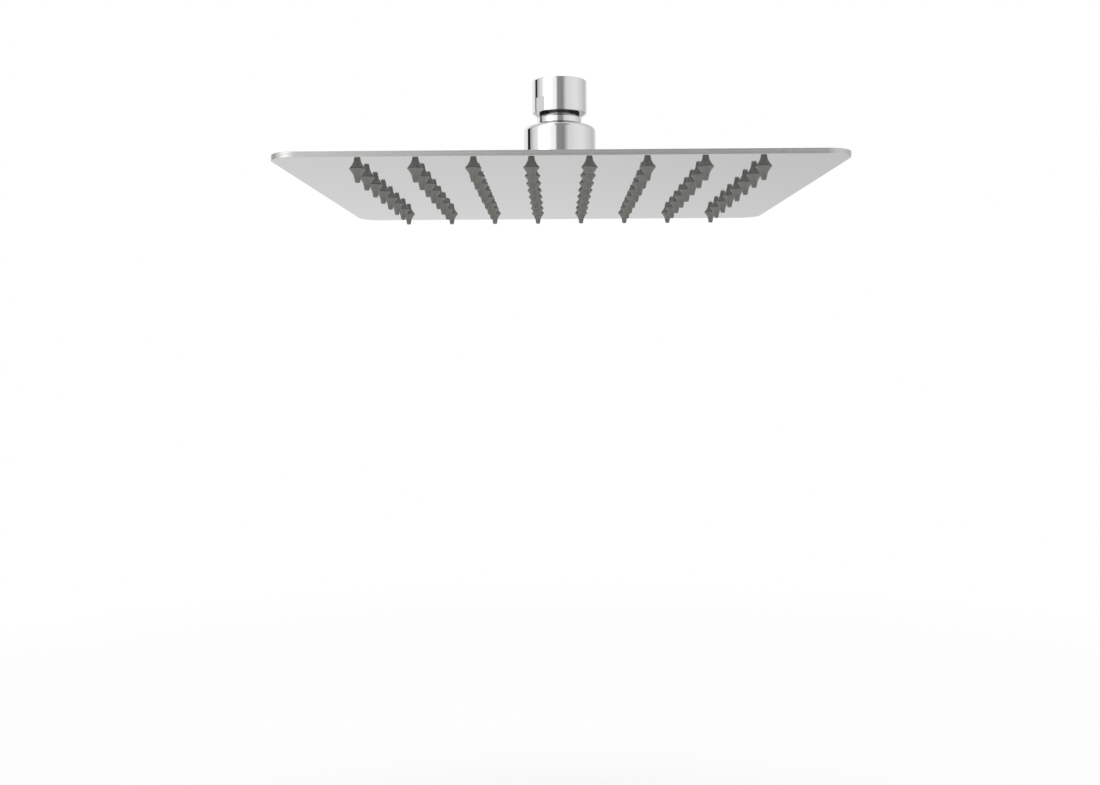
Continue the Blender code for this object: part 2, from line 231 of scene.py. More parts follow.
back_rim_top = back_low.z + sheet_thickness
press_roof = back_high.z - sheet_thickness
under_side = [(rim_width - edge_hold, back_low.z)]
for step in range(press_slope_steps + 1):
    share = step / press_slope_steps
    rise = share * share * (3 - 2 * share) * (press_roof - back_low.z)
    under_side.append((rim_width + share * press_slope_width, back_low.z + rise))
under_side.append((rim_width + press_slope_width + edge_hold, press_roof))

# The upper side runs one thickness above the lower, square to its slope.
over_side = []
earlier = under_side[:1] + under_side
later = under_side[1:] + under_side[-1:]
for before, point, after in zip(earlier, under_side, later):
    along = Vector(after) - Vector(before)
    across = Vector((-along.y, along.x)).normalized() * sheet_thickness
    over_side.append((point[0] + across.x, point[1] + across.y))

back_edge = edge_section(back_low.z, back_rim_top, blank_edge_round, back_edge_round)
back_loops = [plate_loop(*point) for point in reversed(under_side)]
back_loops += [plate_loop(*point) for point in back_edge + over_side]
back_loops.append([(*point, back_high.z) for point in matching_circle(spigot_hole_radius)])
back_loops.append([(*point, press_roof) for point in matching_circle(spigot_hole_radius)])
bm = bmesh.new()
join_loops(bm, back_loops, closed=True)
back_mesh = finished_mesh("back_sheet", bm)
paint_edges(fit("back_sheet", back_mesh, sheet_steel, "head", "steel", "back_plate"))


# Socket body. A cup turned from stainless bar, which holds the ball and carries the cap's thread.
# Its spigot goes through the back plate, and its foot is welded down on the pressing.

socket_low, socket_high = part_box("socket_body")
flange_radius = socket_high.x
foot_gap = 0.0003
flange_foot = back_high.z + foot_gap
flange_height = 0.004
flange_top = flange_foot + flange_height
flange_top_round = 0.001
flange_foot_edge = 0.00015
socket_thread_radius = 0.0134
socket_thread_edge = 0.0003
socket_bore_radius = 0.0121
socket_bore_edge = 0.0001
socket_floor_height = 0.0027
socket_floor = flange_foot + socket_floor_height
spigot_radius = 0.0087
spigot_edge = 0.0002
socket_water_radius = 0.0055
fillet_steps = 6
arc_hold = 0.00006
turned_steps = 144


def softened(corners, steps=fillet_steps):
    """A closed turning profile of (radius, height, fillet) corners, with its fillets as arcs. A
    point is held just before and after each arc, so that the walls beside it stay true."""
    points = []
    for index, (radius, height, fillet) in enumerate(corners):
        corner = Vector((radius, height))
        before = Vector(corners[index - 1][:2]) - corner
        after = Vector(corners[(index + 1) % len(corners)][:2]) - corner
        if not fillet:
            points.append(tuple(corner))
            continue
        opening = before.angle(after)
        reach = fillet / math.tan(opening / 2)
        start = corner + before.normalized() * reach
        end = corner + after.normalized() * reach
        middle = (before.normalized() + after.normalized()).normalized()
        centre = corner + middle * fillet / math.sin(opening / 2)
        points.append(tuple(start + before.normalized() * arc_hold))
        sweep = math.pi - opening
        for step in range(steps + 1):
            share = step / steps
            from_start = (start - centre) * math.sin((1 - share) * sweep)
            from_end = (end - centre) * math.sin(share * sweep)
            points.append(tuple(centre + (from_start + from_end) / math.sin(sweep)))
        points.append(tuple(end + after.normalized() * arc_hold))
    return points


def circle_loop(radius, height, steps, x=0.0, y=0.0):
    """The points of a level circle, round Z or round a place beside it."""
    angles = [math.tau * step / steps for step in range(steps)]
    return [(x + radius * math.cos(a), y + radius * math.sin(a), height) for a in angles]


def turned(profile, steps=turned_steps):
    """A closed profile of (radius, height) points turned round Z."""
    bm = bmesh.new()
    join_loops(bm, [circle_loop(*point, steps) for point in profile], closed=True)
    return bm


def distance_from_axis(material):
    """How far a point of the surface lies from the piece's own upright axis."""
    nodes = material.node_tree.nodes
    links = material.node_tree.links
    place = nodes.new("ShaderNodeTexCoord")
    flat = nodes.new("ShaderNodeVectorMath")
    flat.operation = "MULTIPLY"
    flat.inputs[1].default_value = (1.0, 1.0, 0.0)
    distance = nodes.new("ShaderNodeVectorMath")
    distance.operation = "LENGTH"
    links.new(place.outputs["Object"], flat.inputs[0])
    links.new(flat.outputs["Vector"], distance.inputs[0])
    return distance.outputs["Value"]


def add_turning_marks(material, pitch, smooth, rough, relief):
    """The fine rings that a lathe leaves, by distance from the axis and by height."""
    nodes = material.node_tree.nodes
    links = material.node_tree.links
    place = nodes.new("ShaderNodeTexCoord")
    split = nodes.new("ShaderNodeSeparateXYZ")
    ring = nodes.new("ShaderNodeCombineXYZ")
    noise = nodes.new("ShaderNodeTexNoise")
    noise.inputs["Scale"].default_value = 1 / pitch
    noise.inputs["Detail"].default_value = 2.0
    links.new(place.outputs["Object"], split.inputs["Vector"])
    links.new(distance_from_axis(material), ring.inputs["X"])
    links.new(split.outputs["Z"], ring.inputs["Y"])
    links.new(ring.outputs["Vector"], noise.inputs["Vector"])
    add_finish(material, noise.outputs["Fac"], smooth, rough, relief)


turned_steel = plain_material("turned stainless", steel_colour, metallic=1.0, roughness=0.2)
add_turning_marks(turned_steel, pitch=0.00012, smooth=0.12, rough=0.24, relief=1.2e-6)

socket_profile = softened([
    (socket_bore_radius, socket_high.z, socket_bore_edge),
    (socket_thread_radius, socket_high.z, socket_thread_edge),
    (socket_thread_radius, flange_top, socket_bore_edge),
    (flange_radius, flange_top, flange_top_round),
    (flange_radius, flange_foot, flange_foot_edge),
    (spigot_radius, flange_foot, 0.0),
    (spigot_radius, socket_low.z, spigot_edge),
    (socket_water_radius, socket_low.z, spigot_edge),
    (socket_water_radius, socket_floor, spigot_edge),
    (socket_bore_radius, socket_floor, 0.0),
])
socket_mesh = finished_mesh("socket_cup", turned(socket_profile))
fit("socket_cup", socket_mesh, turned_steel, "head", "steel", "socket_body")


# Foot weld. A thin bead of steel run round the socket's foot, which seals it to the back plate and
# is polished down to a soft fillet.

weld_reach = 0.0003
weld_width = 0.0008
weld_inner = flange_radius - weld_width
weld_profile = softened([
    (weld_inner, back_high.z - weld_reach / 2, 0.0),
    (flange_radius + weld_reach / 2, back_high.z - weld_reach / 2, 0.0),
    (flange_radius + weld_reach / 2, back_high.z + weld_reach / 3, 0.0),
    (flange_radius - weld_reach / 3, flange_foot + weld_reach / 2, 0.0),
    (weld_inner, flange_foot + weld_reach / 2, 0.0),
])
foot_weld_mesh = finished_mesh("foot_weld", turned(weld_profile), sharp=60)
fit("foot_weld", foot_weld_mesh, turned_steel, "head", "steel")


# Face plate. The lower sheet, blanked from the same stock, with a round hole for each nozzle. Its
# edge is dressed to a small round, and its face keeps the brushing that reflects the nozzles.

face_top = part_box("face_plate")[1].z
face_under = face_top - sheet_thickness
face_edge_round = 0.00015
nozzles_per_side = 8
nozzle_pitch = 0.0209
nozzle_hole_radius = 0.002
hole_steps = 24
nozzle_start = -nozzle_pitch * (nozzles_per_side - 1) / 2

bm = bmesh.new()
face_edge = edge_section(face_under, face_top, face_edge_round, blank_edge_round)
edge_rows = join_loops(bm, [plate_loop(*point) for point in face_edge])
under_loops, over_loops = [edge_rows[0]], [edge_rows[-1]]
for row in range(nozzles_per_side):
    for place in range(nozzles_per_side):
        x = nozzle_start + place * nozzle_pitch
        y = nozzle_start + row * nozzle_pitch
        under = circle_loop(nozzle_hole_radius, face_under, hole_steps, x, y)
        over = circle_loop(nozzle_hole_radius, face_top, hole_steps, x, y)
        under_loop, over_loop = join_loops(bm, [under, over])
        under_loops.append(under_loop)
        over_loops.append(over_loop)

# Both sides are filled between the outline and the holes.
for loops in (under_loops, over_loops):
    rims = [bm.edges.get(pair) for loop in loops for pair in zip(loop, loop[1:] + loop[:1])]
    bmesh.ops.triangle_fill(bm, use_beauty=True, edges=rims)
face_mesh = finished_mesh("face_sheet", bm)
paint_edges(fit("face_sheet", face_mesh, sheet_steel, "head", "steel", "face_plate"))


# Rim weld. The two sheets are seam welded all round their rims with no filler, and the seam is
# polished down just below their edges.

weld_depth = 0.0004
weld_set_back = 0.00003
weld_overlap = 0.00003
weld_section = [
    (weld_depth, face_top - weld_overlap),
    (weld_set_back, face_top - weld_overlap),
    (weld_set_back, back_low.z + weld_overlap),
    (weld_depth, back_low.z + weld_overlap),
]
seam_steel = plain_material("welded seam", steel_colour, metallic=1.0, roughness=0.38)
add_grain(
    seam_steel, stretch=(700.0, 700.0, 900.0), smooth=0.32, rough=0.44, relief=6e-7, shade=0.12
)
bm = bmesh.new()
join_loops(bm, [plate_loop(*point) for point in weld_section], closed=True)
fit("rim_weld", finished_mesh("rim_weld", bm), seam_steel, "head", "steel")


# Nozzles. Each is a plug of soft grey silicone, moulded with a thin brim, a slim stem and a waist
# that snaps into its hole. They can be rubbed clean with a thumb.

nozzle_length = 0.00498
brim_radius = 0.00295
brim_thickness = 0.00014
brim_draft = 0.00004
stem_radius = 0.00124
stem_start = 0.0031
sweep_power = 1.5
sweep_steps = 10
tip_radius = 0.00094
tip_round = 0.00026
tip_steps = 4
jet_radius = 0.0005
jet_edge_width = 0.00008
jet_edge_height = 0.00012
inlet_radius = 0.0013
plug_flange_radius = 0.0026
plug_flange_height = 0.0005
nozzle_turns = 28
nozzle_lean = math.radians(0.4)
nozzle_seed = 7
silicone_colour = (0.18, 0.184, 0.167)

sweep = []
for step in range(sweep_steps + 1):
    share = step / sweep_steps
    radius = stem_radius + (brim_radius - stem_radius) * (1 - share) ** sweep_power
    sweep.append((radius, -brim_thickness - share * (stem_start - brim_thickness)))
tip_turns = [math.pi / 2 * step / tip_steps for step in range(tip_steps + 1)]
tip_arc = [
    (tip_radius - tip_round * (1 - math.cos(a)), -nozzle_length + tip_round * (1 - math.sin(a)))
    for a in tip_turns
]

# Down from the brim to the tip, and back up through the jet to the inner flange and the waist.
nozzle_profile = [
    (brim_radius - brim_draft, 0.0),
    *sweep,
    *tip_arc,
    (jet_radius + jet_edge_width, -nozzle_length),
    (jet_radius, -nozzle_length + jet_edge_height),
    (inlet_radius, sheet_thickness + plug_flange_height),
    (plug_flange_radius, sheet_thickness + plug_flange_height),
    (plug_flange_radius, sheet_thickness),
    (nozzle_hole_radius, sheet_thickness),
    (nozzle_hole_radius, 0.0),
]
one_nozzle_mesh = finished_mesh("one_nozzle", turned(nozzle_profile, nozzle_turns), sharp=40)
one_nozzle = new_object("one_nozzle", one_nozzle_mesh)

silicone = plain_material("grey silicone", silicone_colour, metallic=0.0, roughness=0.5)
add_grain(
    silicone, stretch=(900.0, 900.0, 900.0), smooth=0.42, rough=0.6, relief=6e-6, shade=0.16
)


def new_tree(name, inputs):
    """An empty geometry tree with named inputs, given as (name, socket type) pairs."""
    tree = bpy.data.node_groups.new(name, "GeometryNodeTree")
    tree.interface.new_socket("Geometry", in_out="INPUT", socket_type="NodeSocketGeometry")
    for label, kind in inputs:
        tree.interface.new_socket(label, in_out="INPUT", socket_type=kind)
    tree.interface.new_socket("Geometry", in_out="OUTPUT", socket_type="NodeSocketGeometry")
    return tree


def grown_mesh(tree, values):
    """What a geometry tree makes with these values for its named inputs, as a plain mesh."""
    seedling = new_object(tree.name, bpy.data.meshes.new(tree.name))
    modifier = seedling.modifiers.new("grow", "NODES")
    modifier.node_group = tree
    for socket in tree.interface.items_tree:
        if socket.in_out == "INPUT" and socket.name in values:
            modifier[socket.identifier] = values[socket.name]
    graph = bpy.context.evaluated_depsgraph_get()
    mesh = bpy.data.meshes.new_from_object(seedling.evaluated_get(graph))
    seedling.modifiers.remove(modifier)
    bpy.data.objects.remove(seedling, do_unlink=True)
    return mesh


def add_math(nodes, operation, second=None):
    """One step of arithmetic. Its second number is given here where it is fixed."""
    node = nodes.new("ShaderNodeMath")
    node.operation = operation
    if second is not None:
        node.inputs[1].default_value = second
    return node


def add_grid(tree, count, pitch):
    """A square grid of points round the origin, from its points a side and their pitch."""
    link = tree.links.new
    gaps = add_math(tree.nodes, "SUBTRACT", 1.0)
    side = add_math(tree.nodes, "MULTIPLY")
    grid = tree.nodes.new("GeometryNodeMeshGrid")
    link(count, gaps.inputs[0])
    link(gaps.outputs["Value"], side.inputs[0])
    link(pitch, side.inputs[1])
    link(side.outputs["Value"], grid.inputs["Size X"])
    link(side.outputs["Value"], grid.inputs["Size Y"])
    link(count, grid.inputs["Vertices X"])
    link(count, grid.inputs["Vertices Y"])
    return grid.outputs["Mesh"]


def add_lift(tree, geometry, height):
    """The geometry, moved up by a height."""
    lift = tree.nodes.new("ShaderNodeCombineXYZ")
    lifted = tree.nodes.new("GeometryNodeTransform")
    tree.links.new(height, lift.inputs["Z"])
    tree.links.new(geometry, lifted.inputs["Geometry"])
    tree.links.new(lift.outputs["Vector"], lifted.inputs["Translation"])
    return lifted.outputs["Geometry"]


def end_tree(tree, geometry, material):
    """Gives the geometry its material and hands it out of the tree."""
    painted = tree.nodes.new("GeometryNodeSetMaterial")
    result = tree.nodes.new("NodeGroupOutput")
    tree.links.new(geometry, painted.inputs["Geometry"])
    tree.links.new(material, painted.inputs["Material"])
    tree.links.new(painted.outputs["Geometry"], result.inputs["Geometry"])


field = new_tree("nozzle field", [
    ("Nozzle", "NodeSocketObject"),
    ("Nozzles a side", "NodeSocketInt"),
    ("Pitch", "NodeSocketFloat"),
    ("Height", "NodeSocketFloat"),
    ("Lean", "NodeSocketFloat"),
    ("Seed", "NodeSocketInt"),
    ("Material", "NodeSocketMaterial"),
])
add = field.nodes.new
link = field.links.new
given = add("NodeGroupInput")

# Every place in the field, with a small lean of its own.
grid = add_grid(field, given.outputs["Nozzles a side"], given.outputs["Pitch"])
places = add_lift(field, grid, given.outputs["Height"])
other_lean = add_math(field.nodes, "MULTIPLY", -1.0)
lean = add("FunctionNodeRandomValue")
lean.data_type = "FLOAT_VECTOR"
link(given.outputs["Lean"], other_lean.inputs[0])
link(other_lean.outputs["Value"], lean.inputs["Min"])
link(given.outputs["Lean"], lean.inputs["Max"])
link(given.outputs["Seed"], lean.inputs["Seed"])

# The nozzle, set in every place.
shape = add("GeometryNodeObjectInfo")
placed = add("GeometryNodeInstanceOnPoints")
real = add("GeometryNodeRealizeInstances")
link(given.outputs["Nozzle"], shape.inputs["Object"])
link(places, placed.inputs["Points"])
link(shape.outputs["Geometry"], placed.inputs["Instance"])
link(lean.outputs["Value"], placed.inputs["Rotation"])
link(placed.outputs["Instances"], real.inputs["Geometry"])
end_tree(field, real.outputs["Geometry"], given.outputs["Material"])

nozzle_mesh = grown_mesh(field, {
    "Nozzle": one_nozzle,
    "Nozzles a side": nozzles_per_side,
    "Pitch": nozzle_pitch,
    "Height": face_under,
    "Lean": nozzle_lean,
    "Seed": nozzle_seed,
    "Material": silicone,
})
bpy.data.objects.remove(one_nozzle, do_unlink=True)
fit("nozzles", nozzle_mesh, silicone, "head", "silicone")


# Seats and gasket. Two rings of white acetal, turned to the ball's curve, carry it from below and
# above. A silicone ring under the lower one seals it and presses it up. None of them shows from
# outside, so the solids stay and take their finish here.

acetal_colour = (0.82, 0.82, 0.79)

acetal = plain_material("white acetal", acetal_colour, metallic=0.0, roughness=0.4)
add_grain(
    acetal, stretch=(700.0, 700.0, 700.0), smooth=0.34, rough=0.46, relief=3e-6, shade=0.05
)
for node, material in (("lower_seat", acetal), ("upper_seat", acetal), ("seat_gasket", silicone)):
    solid = frame["nodes"][node]
    solid.data.materials.clear()
    solid.data.materials.append(material)


# Ball stem. Ball, neck and tube are one turning of brass with a bore for the water and a fine
# groove round the neck, polished and chromed. The edge at its top is rolled out once the nut is
# on, and keeps the nut from coming off.

stem_low, stem_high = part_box("ball_stem")
nut_low, nut_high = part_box("inlet_nut")
ball_radius = stem_high.x
ball_centre = frame["joints"][0]["pos_m"][2]
neck_radius = 0.0093
neck_gap = 0.0003
neck_top = nut_low.z - neck_gap
neck_edge = 0.00028
groove_rise = 0.0014
groove_half = 0.00055
groove_depth = 0.0004
groove_steps = 10
tube_radius = 0.0079
rolled_radius = 0.009
rolled_height = 0.0012
rolled_round = 0.0004
rolled_edge = 0.0002
water_bore_radius = 0.00525
recess_radius = 0.0066
recess_depth = 0.0008
recess_edge = 0.00015
ball_steps = 60
chrome_colour = (0.78, 0.78, 0.79)

chrome = plain_material("bright chrome", chrome_colour, metallic=1.0, roughness=0.02)
add_turning_marks(chrome, pitch=0.0007, smooth=0.012, rough=0.03, relief=6e-8)

neck_foot = math.sqrt(ball_radius**2 - neck_radius**2)
groove_radius = (groove_half**2 + groove_depth**2) / (2 * groove_depth)
groove_sweep = math.asin(groove_half / groove_radius)
groove_middle = ball_centre + neck_foot + groove_rise
groove = []
for step in range(groove_steps + 1):
    turn = groove_sweep * (1 - 2 * step / groove_steps)
    depth = groove_depth - groove_radius * (1 - math.cos(turn))
    groove.append((neck_radius - depth, groove_middle + groove_radius * math.sin(turn), 0.0))
ball_start = math.asin(neck_foot / ball_radius)
ball_end = math.asin((stem_low.z - ball_centre) / ball_radius)
ball = []
for step in range(ball_steps + 1):
    turn = ball_start + (ball_end - ball_start) * step / ball_steps
    ball.append((ball_radius * math.cos(turn), ball_centre + ball_radius * math.sin(turn), 0.0))
stem_profile = softened([
    (recess_radius, stem_high.z - recess_depth, 0.0),
    (recess_radius, stem_high.z, recess_edge),
    (rolled_radius, stem_high.z, rolled_round),
    (rolled_radius, stem_high.z - rolled_height, rolled_edge),
    (tube_radius, stem_high.z - rolled_height, rolled_edge),
    (tube_radius, neck_top, 0.0),
    (neck_radius, neck_top, neck_edge),
    *groove,
    *ball,
    (water_bore_radius, stem_low.z, 0.0),
    (water_bore_radius, stem_high.z - recess_depth, 0.0),
])
stem_mesh = finished_mesh("chromed_stem", turned(stem_profile))
fit("chromed_stem", stem_mesh, chrome, "stem", "chrome", "ball_stem")


# Captive nut. Turned brass with a G1/2 thread, right-handed, cut from its mouth down to a relief
# above its floor. Two flats for a wrench are milled on its lower half, and it is chromed.

nut_radius = nut_high.x
nut_hole_radius = 0.0082
nut_floor_thickness = 0.0026
nut_floor_top = nut_low.z + nut_floor_thickness
nut_chamfer_width = 0.0021
nut_chamfer_height = 0.0015
nut_chamfer_round = 0.0006
nut_top_round = 0.0005
nut_mouth_edge = 0.00008
nut_foot_edge = 0.00015
nut_floor_fillet = 0.0002
thread_pitch = 0.001814
thread_root_radius = 0.010478
thread_crest_radius = 0.009316
thread_relief_height = 0.0011
thread_mouth_depth = 0.0006
thread_rows_per_pitch = 14
thread_fade = 0.0007
thread_margin = 0.00006
flank_slope = 1.4
flank_start = 0.2
flat_reach = 0.01125
flat_height = 0.0071
flat_angle = math.radians(45)
flat_overrun = 0.002
flat_agreement = 0.99995

thread_low = nut_floor_top + thread_relief_height
thread_high = nut_high.z - thread_mouth_depth
thread_rows = round((thread_high - thread_low) / thread_pitch * thread_rows_per_pitch)
thread_wall = [
    (thread_root_radius, thread_low + (thread_high - thread_low) * row / thread_rows)
    for row in range(1, thread_rows)
]
nut_profile = softened([
    (thread_root_radius, nut_high.z, nut_mouth_edge),
    (nut_radius, nut_high.z, nut_top_round),
    (nut_radius, nut_low.z + nut_chamfer_height, nut_chamfer_round),
    (nut_radius - nut_chamfer_width, nut_low.z, nut_foot_edge),
    (nut_hole_radius, nut_low.z, nut_foot_edge),
    (nut_hole_radius, nut_floor_top, nut_foot_edge),
    (thread_root_radius, nut_floor_top, nut_floor_fillet),
    (thread_root_radius, thread_low, 0.0),
    (thread_root_radius, thread_high, 0.0),
])
bm = turned(nut_profile[:-1] + thread_wall + nut_profile[-1:])

# The thread. Each point of the bore is drawn in by where it stands between root and crest.
for vert in bm.verts:
    radius = vert.co.xy.length
    on_root = abs(radius - thread_root_radius) <= thread_margin
    if not on_root or not thread_low < vert.co.z < thread_high:
        continue
    turns = vert.co.z / thread_pitch - math.atan2(vert.co.y, vert.co.x) / math.tau
    flank = abs(2 * (turns % 1.0) - 1)
    crest = min(1.0, max(0.0, flank_slope * flank - flank_start))
    from_end = min(vert.co.z - thread_low, thread_high - vert.co.z)
    crest *= min(1.0, from_end / thread_fade)
    thread_radius = thread_root_radius + (thread_crest_radius - thread_root_radius) * crest
    vert.co.xy *= thread_radius / radius
nut = new_object("chromed_nut", finished_mesh("chromed_nut", bm))

# The flats, cut away by two blocks.
cutters = []
cut_height = flat_height + flat_overrun
cut_size = (flat_overrun, 2 * nut_radius, cut_height)
cut_middle = (flat_reach + flat_overrun / 2, 0.0, nut_low.z + flat_height - cut_height / 2)
for angle in (flat_angle, flat_angle + math.pi):
    bm = bmesh.new()
    bmesh.ops.create_cube(bm, size=1.0)
    bmesh.ops.scale(bm, vec=cut_size, verts=bm.verts)
    bmesh.ops.translate(bm, vec=cut_middle, verts=bm.verts)
    bmesh.ops.rotate(bm, matrix=Matrix.Rotation(angle, 3, "Z"), verts=bm.verts)
    cutter = new_object("milled_flat", new_mesh("milled_flat", bm))
    cutters.append(cutter)
    mill = nut.modifiers.new("mill", "BOOLEAN")
    mill.operation = "DIFFERENCE"
    mill.solver = "EXACT"
    mill.object = cutter
graph = bpy.context.evaluated_depsgraph_get()
nut_mesh = bpy.data.meshes.new_from_object(nut.evaluated_get(graph))
for spare in [nut, *cutters]:
    bpy.data.objects.remove(spare, do_unlink=True)
nut_mesh.name = "chromed_nut"

# The edge round each flat stays sharp.
bm = bmesh.new()
bm.from_mesh(nut_mesh)
flat_side = Vector((math.cos(flat_angle), math.sin(flat_angle), 0.0))
milled = {face for face in bm.faces if abs(face.normal.dot(flat_side)) > flat_agreement}
for edge in bm.edges:
    if len([face for face in edge.link_faces if face in milled]) == 1:
        edge.smooth = False
bm.to_mesh(nut_mesh)
bm.free()
fit("chromed_nut", nut_mesh, chrome, "nut", "chrome", "inlet_nut")


# Cap. The collar that screws down over the ball, turned from brass with a full shoulder and
# chromed. Its mouth flares, so that the neck can lean 15 degrees before it touches. The flare is
# painted dark grey, as painted shade in the mouth round the neck.

cap_low, cap_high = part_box("ball_cap")
cap_radius = cap_high.x
cap_bore_radius = 0.0137
cap_bore_fillet = 0.0002
cap_lip_thickness = 0.0034
cap_lip_foot = cap_high.z - cap_lip_thickness
cap_lip_radius = 0.01119
cap_mouth_radius = 0.0121
cap_mouth_edge = 0.00018
cap_shoulder = 0.0023
cap_foot_edge = 0.0004
cap_inner_edge = 0.0001
shoulder_steps = 10
# Dark grey painted on the flare as shade in the mouth.
flare_shade_colour = (0.16, 0.16, 0.16)

cap_profile = softened([
    (cap_lip_radius, cap_lip_foot, cap_inner_edge),
    (cap_mouth_radius, cap_high.z, cap_mouth_edge),
    (cap_radius, cap_high.z, cap_shoulder),
    (cap_radius, cap_low.z, cap_foot_edge),
    (cap_bore_radius, cap_low.z, cap_inner_edge),
    (cap_bore_radius, cap_lip_foot, cap_bore_fillet),
], shoulder_steps)
cap_mesh = finished_mesh("chromed_cap", turned(cap_profile))
fit("chromed_cap", cap_mesh, chrome, "head", "chrome", "ball_cap")

# The flare, which takes the painted shade, is what faces the axis above the lip's foot.
flare_painted_shade = plain_material("greased flare", flare_shade_colour, metallic=1.0, roughness=0.3)
add_grain(
    flare_painted_shade, stretch=(400.0, 400.0, 400.0), smooth=0.3, rough=0.4, relief=2e-7, shade=0.1
)
cap_mesh.materials.append(flare_painted_shade)
for face in cap_mesh.polygons:
    place = Vector(face.center)
    inward = place.x * face.normal.x + place.y * face.normal.y < 0
    in_mouth = place.z > cap_lip_foot and place.xy.length < cap_mouth_radius
    face.material_index = int(inward and in_mouth)


# Inlet screen. A disc punched from thin stainless sheet, dropped into the recess in the stem,
# where it stops grit before the nozzles.

screen_low, screen_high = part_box("inlet_screen")
screen_radius = screen_high.x
screen_rim_steps = 96
screen_hole_radius = 0.00042
screen_hole_steps = 14
screen_hole_pitch = 0.0011
screen_reach = 0.0048
screen_places = 11
screen_merge = 0.000001
screen_colour = (0.5, 0.5, 0.49)

screen_steel = plain_material("punched screen", screen_colour, metallic=1.0, roughness=0.3)
add_grain(
    screen_steel, stretch=(1200.0, 1200.0, 1200.0), smooth=0.25, rough=0.4, relief=2e-6, shade=0.1
)

punched = new_tree("punched disc", [
    ("Radius", "NodeSocketFloat"),
    ("Thickness", "NodeSocketFloat"),
    ("Foot", "NodeSocketFloat"),
    ("Hole radius", "NodeSocketFloat"),
    ("Pitch", "NodeSocketFloat"),
    ("Reach", "NodeSocketFloat"),
    ("Holes across", "NodeSocketInt"),
    ("Material", "NodeSocketMaterial"),
])
add = punched.nodes.new
link = punched.links.new
given = add("NodeGroupInput")

# Places in rows, each shifted by half a pitch, without those beyond the reach.
places = add_grid(punched, given.outputs["Holes across"], given.outputs["Pitch"])
where = add("GeometryNodeInputPosition")
split = add("ShaderNodeSeparateXYZ")
skewed = add_math(punched.nodes, "MULTIPLY_ADD", math.cos(math.pi / 3))
raised = add_math(punched.nodes, "MULTIPLY", math.sin(math.pi / 3))
hexagonal = add("ShaderNodeCombineXYZ")
moved = add("GeometryNodeSetPosition")
place_again = add("GeometryNodeInputPosition")
from_axis = add("ShaderNodeVectorMath")
from_axis.operation = "LENGTH"
outside = add("FunctionNodeCompare")
outside.operation = "GREATER_THAN"
kept = add("GeometryNodeDeleteGeometry")
link(where.outputs["Position"], split.inputs["Vector"])
link(split.outputs["Y"], skewed.inputs[0])
link(split.outputs["X"], skewed.inputs[2])
link(split.outputs["Y"], raised.inputs[0])
link(skewed.outputs["Value"], hexagonal.inputs["X"])
link(raised.outputs["Value"], hexagonal.inputs["Y"])
link(places, moved.inputs["Geometry"])
link(hexagonal.outputs["Vector"], moved.inputs["Position"])
link(place_again.outputs["Position"], from_axis.inputs[0])
link(from_axis.outputs["Value"], outside.inputs["A"])
link(given.outputs["Reach"], outside.inputs["B"])
link(moved.outputs["Geometry"], kept.inputs["Geometry"])
link(outside.outputs["Result"], kept.inputs["Selection"])

# The outline of a hole in every place and the rim round them, filled in between.
hole = add("GeometryNodeCurvePrimitiveCircle")
hole.inputs["Resolution"].default_value = screen_hole_steps
holes = add("GeometryNodeInstanceOnPoints")
real = add("GeometryNodeRealizeInstances")
rim = add("GeometryNodeCurvePrimitiveCircle")
rim.inputs["Resolution"].default_value = screen_rim_steps
both = add("GeometryNodeJoinGeometry")
filled = add("GeometryNodeFillCurve")
link(given.outputs["Hole radius"], hole.inputs["Radius"])
link(kept.outputs["Geometry"], holes.inputs["Points"])
link(hole.outputs["Curve"], holes.inputs["Instance"])
link(holes.outputs["Instances"], real.inputs["Geometry"])
link(given.outputs["Radius"], rim.inputs["Radius"])
link(real.outputs["Geometry"], both.inputs["Geometry"])
link(rim.outputs["Curve"], both.inputs["Geometry"])
link(both.outputs["Geometry"], filled.inputs["Curve"])

# The thickness of the sheet, with its underside turned to face down.
thick = add("GeometryNodeExtrudeMesh")
thick.inputs["Individual"].default_value = False
turned_over = add("GeometryNodeFlipFaces")
whole = add("GeometryNodeJoinGeometry")
merged = add("GeometryNodeMergeByDistance")
merged.inputs["Distance"].default_value = screen_merge
link(filled.outputs["Mesh"], thick.inputs["Mesh"])
link(given.outputs["Thickness"], thick.inputs["Offset Scale"])
link(filled.outputs["Mesh"], turned_over.inputs["Mesh"])
link(thick.outputs["Mesh"], whole.inputs["Geometry"])
link(turned_over.outputs["Mesh"], whole.inputs["Geometry"])
link(whole.outputs["Geometry"], merged.inputs["Geometry"])
lifted = add_lift(punched, merged.outputs["Geometry"], given.outputs["Foot"])
end_tree(punched, lifted, given.outputs["Material"])

screen_mesh = grown_mesh(punched, {
    "Radius": screen_radius,
    "Thickness": screen_high.z - screen_low.z,
    "Foot": screen_low.z,
    "Hole radius": screen_hole_radius,
    "Pitch": screen_hole_pitch,
    "Reach": screen_reach,
    "Holes across": screen_places,
    "Material": screen_steel,
})
fit("punched_screen", screen_mesh, screen_steel, "stem", "steel", "inlet_screen")


# Inlet washer. A flat silicone ring on the stem's rolled edge, which the end of the shower arm
# presses down to make the joint tight.

washer_low, washer_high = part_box("inlet_washer")
washer_hole_radius = 0.0059
washer_edge = 0.00025
washer_profile = softened([
    (washer_hole_radius, washer_low.z, washer_edge),
    (washer_hole_radius, washer_high.z, washer_edge),
    (washer_high.x, washer_high.z, washer_edge),
    (washer_high.x, washer_low.z, washer_edge),
])
washer_mesh = finished_mesh("moulded_washer", turned(washer_profile))
fit("moulded_washer", washer_mesh, silicone, "stem", "silicone", "inlet_washer")


# Floor. A pale disc well below the head, as it would hang over it. Its edge fades into the white
# round it, and what lies under the head keeps its shadow.

